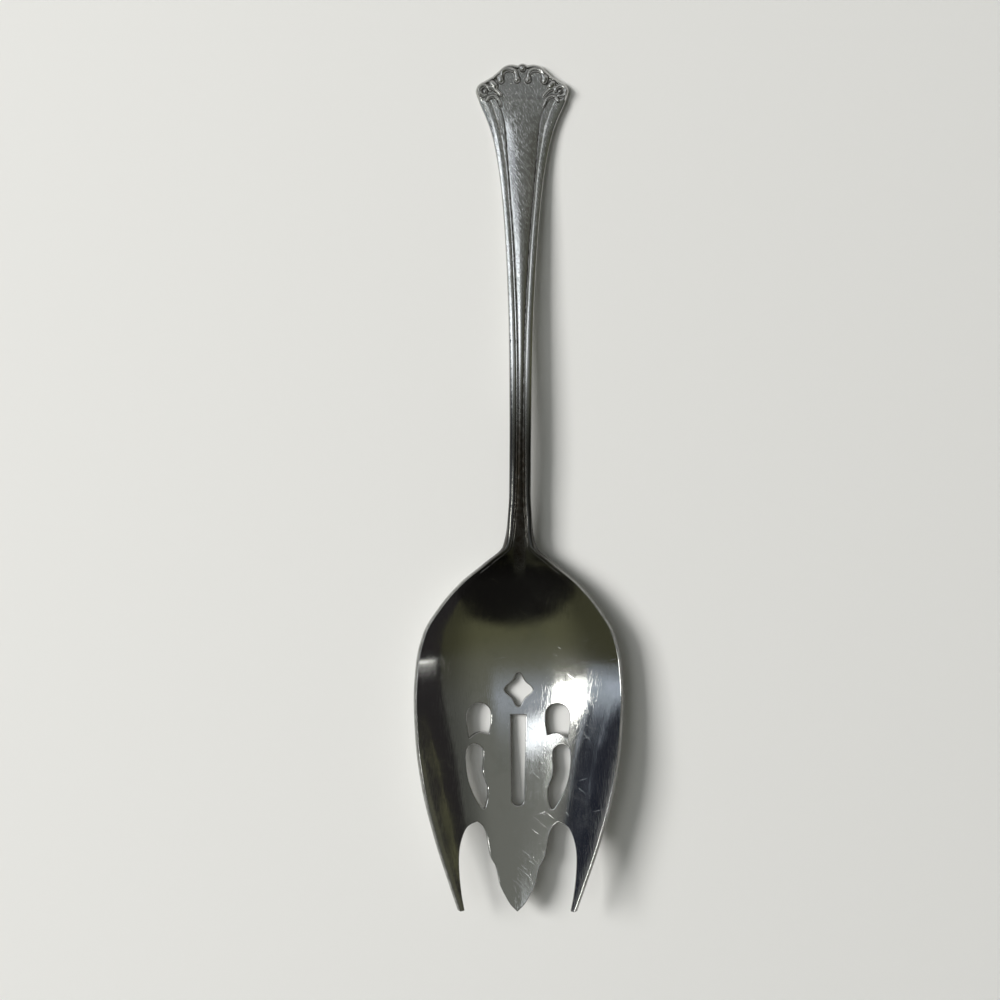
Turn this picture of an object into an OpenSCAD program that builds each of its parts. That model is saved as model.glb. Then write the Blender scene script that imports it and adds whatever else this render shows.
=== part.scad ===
// Pierced serving spoon with three tines, stamped and coined from one blank.
// It lies bowl up on a table: +Y runs from the tines to the end of the handle, +Z is up,
// and the origin is under the middle of the spoon.

/* [Bowl] */
// Length of the bowl, from the tine tips to the root of the handle
bowl_l = 94.7; // [84:0.1:106]
// Width of the bowl at its widest, over the rim
bowl_w = 54.8; // [48:0.1:62]
// Width over the tips of the two outer tines
tips_w = 30.4; // [28:0.1:34]
// Thickness of the sheet in the bowl
bowl_t = 1.7; // [1.2:0.1:2.4]
// Height of the rim's lower edge at the bowl's widest
rim_h = 6.7; // [5:0.1:9]
// Height of the rim's lower edge at the tips of the outer tines
tips_h = 10; // [7:0.1:13]
// Height of the underside at the tip of the centre tine
tongue_h = 5.6; // [3:0.1:8]

/* [Handle] */
// Length of the handle, from the root to its end
handle_l = 127.3; // [110:0.1:150]
// Width of the root, where the handle opens into the bowl
root_w = 9; // [7:0.1:11]
// Width of the neck
neck_w = 5.6; // [4.5:0.1:7]
// Width of the fan at the end of the handle
fan_w = 24.6; // [20:0.1:30]
// Thickness of the neck
neck_t = 3.1; // [2.6:0.1:4]
// Thickness of the fan
fan_t = 2.3; // [1.8:0.1:3]
// Height of the underside at the root
root_h = 3.5; // [2.5:0.1:6]
// Height of the underside at the top of the arch
arch_h = 4.1; // [3:0.1:7]
// Depth of the panel below the coined border
panel_d = 0.45; // [0.2:0.05:0.7]

/* [Piercings] */
// Width of the diamond
diamond_w = 7.5; // [6:0.1:9]
// Length of the diamond
diamond_l = 8.9; // [7:0.1:10]
// Width of each eye
eye_w = 6.3; // [5:0.1:7.5]
// Length of each eye
eye_l = 9.2; // [8:0.1:10]
// Width of the centre slot at its square end
slot_w = 4; // [3:0.1:5]
// Width of the centre slot at its round end
slot_end_w = 3.2; // [2.4:0.1:4]
// Length of the centre slot
slot_l = 23.6; // [20:0.1:26]
// Width of each leaf
leaf_w = 5.7; // [4.5:0.1:6.5]
// Length of each leaf
leaf_l = 16.8; // [14:0.1:18]
// Length of the gaps between the tines
gap_l = 22.9; // [18:0.1:27]
// Width between the outer tines, at its widest
gap_w = 30.2; // [27:0.1:32]
// How far short of the centre tine the outer tines end
tine_short = 0.8; // [0:0.1:3]

/* [Hidden] */

spoon_l = bowl_l + handle_l;
y_tips = -spoon_l / 2;
y_root = y_tips + bowl_l;
y_end = spoon_l / 2;
over = 1;          // overrun of every cut
top_z = max(arch_h + neck_t, rim_h + bowl_t, tips_h + bowl_t) + over;

// Places of the piercings: distance from the tips, and from the centre line
diamond_y = 56.9;
eye_y = 44.3;
eye_x = 10.3;
slot_y = 26.7;
leaf_y = 26.1;
leaf_x = 7.9;

// Rounding of the back of the handle at its edges, at the neck and at the fan
neck_round = 1.2;
fan_round = 0.5;
// Height that the border loses to its outer edge
border_drop = 0.55;
// Half width of the panel in the fan and at the waist below it
panel_fan = 5.2;
panel_waist = 4.4;
// Scalloped end: corner lobes, scroll lobes and the crown between them
corner_r = 2.85;
corner_y = 7.6;    // from the end to the middle of a corner lobe
lobe_r = 3.9;
lobe_x = 2.85;
lobe_y = 4.15;     // from the end to the middle of a scroll lobe
crown_r = 1.8;
shoulder_in = 0.25; // hollow of the shoulder between two lobes
border_w = 1.1;
// Coined ornament inside the border: C-scrolls, drops and corner volutes, each half sunk into the fan
scroll_r = 1.75;
scroll_x = 3.75;
scroll_y = 3.5;
tube_r = 0.5;
drop_r = 0.75;
drops = [[5.9, 4.3], [7.9, 5.7]]; // from the centre line, and from the end
volute_r = 1.4;
// Length over which the coined border fades into the bowl
fade_l = 9;
// Curve of the bowl and of the handle's back across their width: 2 is round, more is flatter
bowl_curve = 2.1;
back_curve = 2.6;
// Share of the fan's back that is flat and rests on the table
fan_flat_share = 0.65;

// Smooth curve through a table of [place, value] rows that rise in place
function span(t, u, i = 0) = i + 2 >= len(t) || u < t[i + 1][0] ? i : span(t, u, i + 1);
function rise(t, i) = (t[i + 1][1] - t[i][1]) / (t[i + 1][0] - t[i][0]);
function slope(t, i) = i == 0 ? rise(t, 0) : i == len(t) - 1 ? rise(t, i - 1)
    : let (a = rise(t, i - 1), b = rise(t, i)) a * b <= 0 ? 0 : 2 * a * b / (a + b);
function smooth(t, u) =
    let (i = span(t, u), h = t[i + 1][0] - t[i][0], s = min(max((u - t[i][0]) / h, 0), 1))
    (1 + 2 * s) * (1 - s) * (1 - s) * t[i][1] + s * s * (3 - 2 * s) * t[i + 1][1]
    + h * s * (1 - s) * ((1 - s) * slope(t, i) - s * slope(t, i + 1));
function ease(s) = let (c = min(max(s, 0), 1)) c * c * (3 - 2 * c);
function mix(a, b, k) = a + (b - a) * k;

// Side outline: shares of the bowl's length from the tips, and of its half width
bowl_side_shares = [[0.08, 0.652], [0.2, 0.79], [0.34, 0.915], [0.47, 0.98], [0.585, 1],
    [0.68, 0.98], [0.76, 0.915], [0.835, 0.76], [0.9, 0.565], [0.955, 0.335]];
// Shares of the handle's length from the root, and of the step from the neck to the fan
handle_side_shares = [[0.045, 0.055], [0.115, 0], [0.205, 0], [0.33, 0.016], [0.46, 0.048],
    [0.54, 0.09], [0.625, 0.153], [0.69, 0.217], [0.755, 0.307], [0.79, 0.375], [0.82, 0.45],
    [0.855, 0.56], [0.888, 0.72], [0.92, 0.905], [0.945, 1], [1, 1]];
side = concat(
    [[y_tips, tips_w / 2]],
    [for (p = bowl_side_shares) [y_tips + p[0] * bowl_l, p[1] * bowl_w / 2]],
    [[y_root, root_w / 2]],
    [for (p = handle_side_shares) [y_root + p[0] * handle_l, mix(neck_w, fan_w, p[1]) / 2]]);

// Underside along the middle: shares of each length, and of the height named beside them
tongue_shares = [[0, 1], [0.12, 0.78], [0.25, 0.48], [0.38, 0.22], [0.5, 0.06]];
heel_shares = [[0.6, 0], [0.7, 0.05], [0.8, 0.23], [0.88, 0.5], [0.94, 0.75], [1, 1]];
arch_shares = [[0.07, 0.9], [0.2, 1], [0.36, 0.86], [0.53, 0.62], [0.65, 0.45], [0.73, 0.24],
    [0.8, 0.06], [0.86, 0], [1, 0]];
floor_line = concat(
    [for (p = tongue_shares) [y_tips + p[0] * bowl_l, p[1] * tongue_h]],
    [for (p = heel_shares) [y_tips + p[0] * bowl_l, p[1] * root_h]],
    [for (p = arch_shares) [y_root + p[0] * handle_l, p[1] * arch_h]]);

// Height of the rim's lower edge over the middle of the underside
rim_shares = [[0, 0], [0.35, 0.36], [0.6, 1]];
heel_rim_shares = [[0.75, 0.3], [0.87, 0.75], [0.94, 0.95]];
rim_line = concat(
    [for (p = rim_shares) [y_tips + p[0] * bowl_l, mix(tips_h, rim_h, p[1])]],
    [for (p = heel_rim_shares) [y_tips + p[0] * bowl_l, mix(rim_h, root_h + neck_round, p[1])]],
    [[y_root, root_h + neck_round], [y_root + fade_l, smooth(floor_line, y_root + fade_l) + neck_round]]);

// Thickness along the spoon
gauge_line = [[y_tips, bowl_t * 0.9], [y_tips + bowl_l * 0.3, bowl_t], [y_root - 3 * fade_l, bowl_t],
    [y_root - fade_l / 2, mix(bowl_t, neck_t, 0.6)], [y_root + fade_l, neck_t],
    [y_root + handle_l * 0.3, neck_t], [y_root + handle_l * 0.7, mix(fan_t, neck_t, 0.4)],
    [y_root + handle_l * 0.93, fan_t], [y_end, fan_t]];

// Half width of the panel: shares of the handle's length, and of the half width named beside them
channel_shares = [[-0.06, 0.5], [0.02, 0.25], [0.115, 0.08], [0.205, 0.13], [0.33, 0.23], [0.46, 0.36],
    [0.6, 0.43], [0.69, 0.62], [0.755, 0.82], [0.8, 0.96], [0.86, 1]];
fan_panel_shares = [[0.93, 1], [1, 1]];
panel_line = concat(
    [for (p = channel_shares) [y_root + p[0] * handle_l, p[1] * panel_waist]],
    [for (p = fan_panel_shares) [y_root + p[0] * handle_l, p[1] * panel_fan]]);

function half(y) = smooth(side, y);
function floor_z(y) = smooth(floor_line, y);
function round_z(y) = mix(neck_round, fan_round, ease((y - y_root) / handle_l));
function rim_z(y) = y < y_root + fade_l ? smooth(rim_line, y) : floor_z(y) + round_z(y);
function handle_part(y) = ease((y - y_root + fade_l) / (2 * fade_l));

// Half a section, from the middle out. Across the bowl the sheet follows the underside at an even thickness;
// across the handle the top has a panel, a thread, a groove and a rounded border.
across_shares = [0, 0.12, 0.24, 0.36, 0.47, 0.58, 0.68, 0.78, 0.87, 0.94, 1];
// For each point: shares of the panel's half width, of the border's width, of the panel's depth and of the drop
coin_shares = [[0, 0, 1, 0], [0.55, 0, 1, 0], [1, 0, 1, 0], [1, 0.06, 0.5, 0], [1, 0.2, 0.35, 0],
    [1, 0.3, 0.9, 0], [1, 0.4, 0.9, 0], [1, 0.5, 0.15, 0], [1, 0.68, 0, 0], [1, 0.88, 0, 0.3], [1, 1, 0, 1]];
n_half = len(across_shares) - 1;

function under(y, s) =
    let (flat = fan_flat_share * ease((y - y_root) / handle_l),
        curve = mix(bowl_curve, back_curve, handle_part(y)))
    floor_z(y) + (rim_z(y) - floor_z(y)) * pow(max(0, s - flat) / (1 - flat), curve);
function lean(y, s) = atan((under(y, s) - under(y, s - 0.01)) / (0.01 * half(y)));
function sheet_point(y, s) = let (t = smooth(gauge_line, y), a = s > 0 ? lean(y, s) : 0)
    [s * half(y) - t * sin(a), under(y, s) + t * cos(a)];
function coin_point(y, i) = let (c = coin_shares[i], p = smooth(panel_line, y))
    [c[0] * p + c[1] * (half(y) - p), floor_z(y) + smooth(gauge_line, y) - c[2] * panel_d - c[3] * border_drop];
function top_point(y, i) = mix(sheet_point(y, across_shares[i]), coin_point(y, i), handle_part(y));
function section(y) = concat(
    [for (i = [n_half:-1:1]) let (p = top_point(y, i)) [-p[0], y, p[1]]],
    [for (i = [0:n_half]) let (p = top_point(y, i)) [p[0], y, p[1]]],
    [for (i = [n_half:-1:-n_half]) let (s = across_shares[abs(i)]) [sign(i) * s * half(y), y, under(y, s)]]);

// Stations stand closer where the bowl narrows to the root and at both ends of the handle
bowl_steps = 36;
handle_steps = 44;
stations = concat(
    [for (k = [0:bowl_steps - 1]) y_tips + bowl_l * (1 - pow(1 - k / bowl_steps, 1.4))],
    [for (k = [0:handle_steps]) let (u = k / handle_steps) y_root + handle_l * (u - 0.1 * sin(360 * u))]);

// Solid skinned over a row of sections, whose first half of points is the top and second half the underside
module skin(sections) {
    n = len(sections[0]);
    last = (len(sections) - 1) * n;
    polyhedron(points = [for (s = sections) each s], faces = concat(
        [for (k = [0:len(sections) - 2], i = [0:n - 1]) let (a = k * n + i, b = k * n + (i + 1) % n)
            each [[a, a + n, b], [b, a + n, b + n]]],
        [for (i = [0:n / 2 - 2]) each [[i, i + 1, n - 1 - i], [i + 1, n - 2 - i, n - 1 - i]]],
        [for (i = [0:n / 2 - 2]) each [[last + i, last + n - 1 - i, last + i + 1],
            [last + i + 1, last + n - 1 - i, last + n - 2 - i]]]));
}

// Smooth run of points through a few chosen ones; each span gets the same number of steps
curve_steps = 4;
function tangent(p, i) = (p[min(i + 1, len(p) - 1)] - p[max(i - 1, 0)]) / 2;
function curve(p) = concat([for (i = [0:len(p) - 2], k = [0:curve_steps - 1]) let (s = k / curve_steps)
    p[i] * (1 + 2 * s) * pow(1 - s, 2) + p[i + 1] * s * s * (3 - 2 * s)
    + s * (1 - s) * ((1 - s) * tangent(p, i) - s * tangent(p, i + 1))], [p[len(p) - 1]]);
function scaled(shares, w, l) = [for (p = shares) [p[0] * w, p[1] * l]];
function mirrored(p) = [for (i = [len(p) - 1:-1:0]) [-p[i][0], p[i][1]]];
function arc(centre, r, from, to, steps = 6) =
    [for (k = [0:steps]) let (a = mix(from, to, k / steps)) centre + r * [cos(a), sin(a)]];

// Prism that goes through the whole height of the spoon
module pierce(outline) {
    translate([0, 0, -over]) linear_extrude(top_z + over) polygon(outline);
}

module both_sides() {
    children();
    mirror([1, 0, 0]) children();
}

// Diamond with blunt points and slightly hollow sides
module diamond() {
    quarter = curve(scaled([[0, 1], [0.16, 0.93], [0.44, 0.5], [0.86, 0.2], [1, 0]],
        diamond_w / 2, diamond_l / 2));
    top = [for (i = [0:len(quarter) - 2]) quarter[i]];
    bottom = [for (p = quarter) [p[0], -p[1]]];
    right = concat(top, [for (i = [len(bottom) - 1:-1:1]) bottom[i]]);
    translate([0, y_tips + diamond_y, 0]) pierce(concat(right, [for (p = right) -p]));
}

// Eye: a round-headed opening on an arched foot
module eye() {
    head = arc([0, eye_l - eye_w / 2], eye_w / 2, 0, 180, 12);
    outer = scaled([[1, 0.4], [0.8, 0]], eye_w / 2, eye_l);
    inner = scaled([[-0.84, 0.1], [-1, 0.4]], eye_w / 2, eye_l);
    foot = curve(scaled([[0.8, 0], [0.35, 0.12], [-0.1, 0.17], [-0.84, 0.1]], eye_w / 2, eye_l));
    translate([eye_x, y_tips + eye_y, 0])
    pierce(concat(head, [inner[1]], [for (i = [len(foot) - 1:-1:0]) foot[i]], [outer[0]]));
}

// Centre slot: square at the top, narrowing to a round end
module slot() {
    r = slot_end_w / 2;
    translate([0, y_tips + slot_y, 0])
    pierce(concat([[slot_w / 2, slot_l]], [[-slot_w / 2, slot_l]], arc([0, r], r, 180, 360, 10)));
}

// Leaf: arched head under the eye, hollow inner side with a cusp, outer side drawn down to the point
module leaf() {
    outer = curve(scaled([[0.12, 0], [0.28, 0.02], [0.63, 0.22], [0.89, 0.46], [1, 0.72], [0.97, 0.92]],
        leaf_w, leaf_l));
    head = curve(scaled([[0.97, 0.92], [0.82, 0.98], [0.6, 1], [0.38, 0.97], [0.22, 0.91]], leaf_w, leaf_l));
    inner = curve(scaled([[0.22, 0.91], [0.21, 0.76], [0.22, 0.55], [0, 0.33]], leaf_w, leaf_l));
    foot = curve(scaled([[0, 0.33], [0, 0.15], [0.12, 0]], leaf_w, leaf_l));
    translate([leaf_x, y_tips + leaf_y, 0]) pierce(concat(outer, head, inner, foot));
}

// Gap between the centre tine and an outer tine, open at the tips
module tine_gap() {
    outer_shares = [[0.7, 1], [0.87, 0.94], [0.965, 0.79], [1, 0.63], [0.99, 0.42], [0.95, 0.19], [0.895, 0]];
    outer = curve([for (p = outer_shares) [p[0] * gap_w / 2, mix(tine_short, gap_l, p[1])]]);
    inner = curve(scaled([[0.7, 1], [0.6, 0.945], [0.535, 0.85], [0.495, 0.7], [0.455, 0.59], [0.375, 0.5]],
        gap_w / 2, gap_l));
    point = curve(scaled([[0.375, 0.5], [0.335, 0.4], [0.3, 0.29], [0.22, 0.18], [0.12, 0.07], [0.02, 0]],
        gap_w / 2, gap_l));
    translate([0, y_tips, 0]) pierce(concat([for (i = [len(outer) - 1:-1:0]) outer[i]], inner, point,
        [[0, -over], [tips_w / 2 + over, -over], [tips_w / 2 + over, tine_short]]));
}

// Right half of the scalloped end, from the corner to the crown, set in from the real outline
function end_half(inset) =
    let (corner = arc([fan_w / 2 - corner_r, y_end - corner_y], corner_r - inset, 0, 75),
         lobe = arc([lobe_x, y_end - lobe_y], lobe_r - inset, 41, 112, 8),
         crown = arc([0, y_end - crown_r], crown_r - inset, 45, 90, 4),
         shoulder = mix(corner[len(corner) - 1], lobe[0], 0.5) - shoulder_in * [cos(53), sin(53)])
    concat(corner, [shoulder], lobe, crown);
function end_outline(inset) = let (h = end_half(inset)) concat(h, mirrored([for (k = [0:len(h) - 2]) h[k]]));

// Everything past the scalloped end
module end_waste() {
    difference() {
        pierce([for (c = [[-1, 0], [1, 0], [1, 1], [-1, 1]])
            [c[0] * (fan_w / 2 + over), y_end - corner_y + c[1] * (corner_y + over)]]);
        pierce(end_outline(0));
    }
}

// Raised border that follows the scallops
module end_border() {
    difference() {
        translate([0, 0, fan_t / 2]) linear_extrude(fan_t / 2) polygon(end_outline(0));
        pierce(end_outline(border_w));
    }
}

// C-scroll whose inner end curls in beside the crown, a row of drops, and a volute with its eye
module end_ornament() {
    translate([scroll_x, y_end - scroll_y, fan_t - panel_d / 2]) {
        rotate([0, 0, 10]) rotate_extrude(angle = 175) translate([scroll_r, 0]) circle(tube_r, $fn = 16);
        rotate([0, 0, 185]) translate([scroll_r, 0, 0]) sphere(drop_r, $fn = 24);
    }
    for (d = drops) translate([d[0], y_end - d[1], fan_t - panel_d]) sphere(drop_r, $fn = 24);
    translate([fan_w / 2 - corner_r, y_end - corner_y, fan_t - panel_d / 2]) {
        rotate([0, 0, -60]) rotate_extrude(angle = 280) translate([volute_r, 0]) circle(tube_r, $fn = 16);
        sphere(drop_r, $fn = 24);
    }
}

module serving_spoon() {
    color("silver")
    difference() {
        union() {
            skin([for (y = stations) section(y)]);
            end_border();
            both_sides() end_ornament();
        }
        diamond();
        slot();
        both_sides() {
            eye();
            leaf();
            tine_gap();
        }
        end_waste();
    }
}

serving_spoon();
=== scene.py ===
# Pierced serving spoon with three tines, stamped and coined from one blank, bowl up on a pale table.
import math
from functools import lru_cache

import bmesh
import bpy
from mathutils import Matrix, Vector, kdtree


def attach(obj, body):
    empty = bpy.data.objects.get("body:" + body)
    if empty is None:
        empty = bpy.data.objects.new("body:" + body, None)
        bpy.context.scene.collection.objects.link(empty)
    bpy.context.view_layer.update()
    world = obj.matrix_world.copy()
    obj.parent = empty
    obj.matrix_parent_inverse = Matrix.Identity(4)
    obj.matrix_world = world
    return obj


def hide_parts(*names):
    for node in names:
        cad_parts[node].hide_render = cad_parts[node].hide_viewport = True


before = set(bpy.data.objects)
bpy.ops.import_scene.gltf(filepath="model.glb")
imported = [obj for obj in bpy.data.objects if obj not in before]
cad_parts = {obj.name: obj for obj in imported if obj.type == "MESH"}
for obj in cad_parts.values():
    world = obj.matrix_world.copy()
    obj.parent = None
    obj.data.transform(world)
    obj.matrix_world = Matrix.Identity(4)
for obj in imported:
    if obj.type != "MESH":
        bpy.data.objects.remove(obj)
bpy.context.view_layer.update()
print("CAD frame loaded")

# Millimetres. +Y runs from the tines to the end of the handle, +Z is up, the table is at zero.
spoon = {
    "bowlLength": 94.7, "bowlWidth": 54.8, "tipsWidth": 30.4, "sheet": 1.7,
    "rimHeight": 6.7, "tipsHeight": 10.0, "tongueHeight": 5.6, "bowlCurve": 2.1,
    "handleLength": 127.3, "rootWidth": 9.0, "neckWidth": 5.6, "fanWidth": 24.6,
    "neckThick": 3.1, "fanThick": 2.3, "rootHeight": 3.5, "archHeight": 4.1,
    "neckRound": 1.2, "fanRound": 0.5, "backCurve": 2.6, "fanFlat": 0.65, "fade": 9.0,
}
tipsY = -(spoon["bowlLength"] + spoon["handleLength"]) / 2
rootY = tipsY + spoon["bowlLength"]
endY = -tipsY
mm = 0.001


def mix(a, b, k):
    return a + (b - a) * k


def ease(s):
    c = min(max(s, 0.0), 1.0)
    return c * c * (3 - 2 * c)


# Smooth line through rows of (place, value); blur averages it over that many millimetres
def profile(rows, blur=0.0):
    places = [row[0] for row in rows]
    values = [row[1] for row in rows]
    rises = [(values[i + 1] - values[i]) / (places[i + 1] - places[i]) for i in range(len(rows) - 1)]
    slopes = [rises[0]]
    for a, b in zip(rises, rises[1:]):
        slopes.append(0.0 if a * b <= 0 else 2 * a * b / (a + b))
    slopes.append(rises[-1])

    def plain(u):
        i = 0
        while i + 2 < len(places) and u >= places[i + 1]:
            i += 1
        h = places[i + 1] - places[i]
        s = min(max((u - places[i]) / h, 0.0), 1.0)
        return ((1 + 2 * s) * (1 - s) ** 2 * values[i] + s * s * (3 - 2 * s) * values[i + 1]
                + h * s * (1 - s) * ((1 - s) * slopes[i] - s * slopes[i + 1]))

    @lru_cache(maxsize=None)
    def line(u):
        reach = min(blur, (u - places[0]) / 2, (places[-1] - u) / 2)
        if reach < 0.05:
            return plain(u)
        total = weights = 0.0
        for k in range(-6, 7):
            weight = math.exp(-(k / 3) ** 2 / 2)
            total += weight * plain(u + k * reach / 3)
            weights += weight
        return total / weights

    return line


def alongBowl(shares, low, high):
    return [(tipsY + p * spoon["bowlLength"], mix(low, high, k)) for p, k in shares]


def alongHandle(shares, low, high):
    return [(rootY + p * spoon["handleLength"], mix(low, high, k)) for p, k in shares]


# Side outline: shares of each length, and of the half widths
bowlSide = [(0.08, 0.652), (0.2, 0.79), (0.34, 0.915), (0.47, 0.98), (0.585, 1), (0.68, 0.98),
            (0.76, 0.915), (0.835, 0.76), (0.9, 0.565), (0.955, 0.335)]
handleSide = [(0.045, 0.055), (0.115, 0), (0.205, 0), (0.33, 0.016), (0.46, 0.048), (0.54, 0.09),
              (0.625, 0.153), (0.69, 0.217), (0.755, 0.307), (0.79, 0.375), (0.82, 0.45),
              (0.855, 0.56), (0.888, 0.72), (0.92, 0.905), (0.945, 1), (1, 1)]
halfWidth = profile(
    [(tipsY, spoon["tipsWidth"] / 2)] + alongBowl(bowlSide, 0, spoon["bowlWidth"] / 2)
    + [(rootY, spoon["rootWidth"] / 2)]
    + alongHandle(handleSide, spoon["neckWidth"] / 2, spoon["fanWidth"] / 2))

# Underside along the middle, and the lower edge of the rim over it
tongueShares = [(0, 1), (0.12, 0.73), (0.25, 0.44), (0.38, 0.2), (0.5, 0.055)]
heelShares = [(0.6, 0), (0.7, 0.05), (0.8, 0.23), (0.88, 0.5), (0.94, 0.75), (1, 1)]
archShares = [(0.07, 0.9), (0.2, 1), (0.36, 0.86), (0.53, 0.62), (0.65, 0.45), (0.73, 0.24),
              (0.8, 0.06), (0.86, 0), (1, 0)]
floorLine = profile(
    alongBowl(tongueShares, 0, spoon["tongueHeight"]) + alongBowl(heelShares, 0, spoon["rootHeight"])
    + alongHandle(archShares, 0, spoon["archHeight"]), blur=5)
rimShares = [(0, 0), (0.35, 0.36), (0.6, 1)]
heelRimShares = [(0.75, 0.3), (0.87, 0.75), (0.94, 0.95)]
rootRim = spoon["rootHeight"] + spoon["neckRound"]
rimLine = profile(
    alongBowl(rimShares, spoon["tipsHeight"], spoon["rimHeight"])
    + alongBowl(heelRimShares, spoon["rimHeight"], rootRim)
    + [(rootY, rootRim), (rootY + spoon["fade"], floorLine(rootY + spoon["fade"]) + spoon["neckRound"])],
    blur=4)
gauge = profile([
    (tipsY, spoon["sheet"] * 0.9), (tipsY + spoon["bowlLength"] * 0.3, spoon["sheet"]),
    (rootY - 3 * spoon["fade"], spoon["sheet"]),
    (rootY - spoon["fade"] / 2, mix(spoon["sheet"], spoon["neckThick"], 0.6)),
    (rootY + spoon["fade"], spoon["neckThick"]),
    (rootY + spoon["handleLength"] * 0.3, spoon["neckThick"]),
    (rootY + spoon["handleLength"] * 0.7, mix(spoon["fanThick"], spoon["neckThick"], 0.4)),
    (rootY + spoon["handleLength"] * 0.93, spoon["fanThick"]), (endY, spoon["fanThick"])], blur=4)


def roundHeight(y):
    return mix(spoon["neckRound"], spoon["fanRound"], ease((y - rootY) / spoon["handleLength"]))


def rimHeight(y):
    return rimLine(y) if y < rootY + spoon["fade"] else floorLine(y) + roundHeight(y)


def handlePart(y):
    return ease((y - rootY + spoon["fade"]) / (2 * spoon["fade"]))


# Underside at a share of the half width, with its slope
def underside(y, share):
    flat = spoon["fanFlat"] * ease((y - rootY) / spoon["handleLength"])
    curve = mix(spoon["bowlCurve"], spoon["backCurve"], handlePart(y))
    rise = rimHeight(y) - floorLine(y)
    s = max(0.0, share - flat) / (1 - flat)
    return (floorLine(y) + rise * s ** curve,
            rise * curve * s ** (curve - 1) / ((1 - flat) * halfWidth(y)))


# Coined relief of the handle. Widths in millimetres, from the edge inwards: border, then thread, then panel.
relief = {
    "border": [(-30, 1.5), (-12, 1.5), (0, 1.6), (30, 1.8), (50, 1.65), (74, 1.65), (83.5, 2.0),
               (89, 2.2), (94.6, 2.6), (98, 2.9), (101, 3.05), (111, 3.1)],
    "thread": [(-30, 0.6), (-12, 0.5), (0, 0.5), (30, 0.45), (50, 0.55), (74, 0.55), (83.5, 0.6),
               (89, 1.0), (94.6, 1.6), (98, 2.05), (101, 1.8), (111, 1.8)],
    "crown": [(-16, 0.0), (0, 0.06), (12, 0.14), (30, 0.25), (50, 0.36), (65, 0.46), (76, 0.5),
              (90, 0.5), (96, 0.3), (101, 0.04), (111, 0)],
    "lowered": 0.25, "borderDrop": 0.4, "crest": 0.62, "grooveDepth": 0.3, "threadDepth": 0.24,
    # The last value here is the width of the dirt and painted shade along the line round the panel
    "threadRise": 0.05, "panelDepth": 0.26, "lineDepth": 0.05, "lineWide": 0.13, "grooveDarkWide": 0.24,
    "rimWide": 1.15, "rimDrop": 0.6, "rimBump": 0.34,
    # The next to last value paints the fan's end a little darker; the last is how dark the painted shade round the
    # ornament ridges is
    "channelEnd": (100.6, 102.0), "ornamentFrom": 97, "ornamentFade": 3, "fanDarker": 0.15, "ornamentPaintedShade": 0.9,
}
borderWide = profile(relief["border"], blur=2)
threadWide = profile(relief["thread"], blur=2)
crownRise = profile(relief["crown"], blur=3)


def grooves(y):
    half = halfWidth(y)
    groove = half - borderWide(y)
    return half, groove, groove - threadWide(y)


# Smooth run of points through a few chosen ones
def through(points, steps=6):
    run = []
    for i in range(len(points) - 1):
        a, b = Vector(points[i]), Vector(points[i + 1])
        before, after = Vector(points[max(i - 1, 0)]), Vector(points[min(i + 2, len(points) - 1)])
        startPull, endPull = (b - before) / 2, (after - a) / 2
        for k in range(steps):
            s = k / steps
            run.append(a * (1 + 2 * s) * (1 - s) ** 2 + b * s * s * (3 - 2 * s)
                       + s * (1 - s) * ((1 - s) * startPull - s * endPull))
    return run + [Vector(points[-1])]


def arcRun(centre, radius, start, end, steps=12):
    run = []
    for k in range(steps + 1):
        angle = math.radians(mix(start, end, k / steps))
        run.append(Vector((centre[0] + radius * math.cos(angle), centre[1] + radius * math.sin(angle))))
    return run


def mirrored(points):
    return [Vector((-p.x, p.y)) for p in reversed(points)]


# Scalloped end of the fan: corner lobe, shoulder, scroll lobe and crown, right half from the corner up
fanEnd = {"cornerRadius": 2.85, "cornerDown": 7.6, "lobeRadius": 3.9, "lobeAcross": 2.85,
          "lobeDown": 4.15, "crownRadius": 1.8, "shoulderIn": 0.25}


def fanEndRun():
    halfFan = spoon["fanWidth"] / 2
    corner = arcRun((halfFan - fanEnd["cornerRadius"], endY - fanEnd["cornerDown"]),
                    fanEnd["cornerRadius"], 0, 75)
    lobe = arcRun((fanEnd["lobeAcross"], endY - fanEnd["lobeDown"]), fanEnd["lobeRadius"], 41, 112)
    crown = arcRun((0, endY - fanEnd["crownRadius"]), fanEnd["crownRadius"], 45, 90, 6)
    inward = Vector((math.cos(math.radians(53)), math.sin(math.radians(53))))
    shoulder = (corner[-1] + lobe[0]) / 2 - fanEnd["shoulderIn"] * inward
    return corner + [shoulder] + lobe + crown


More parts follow.
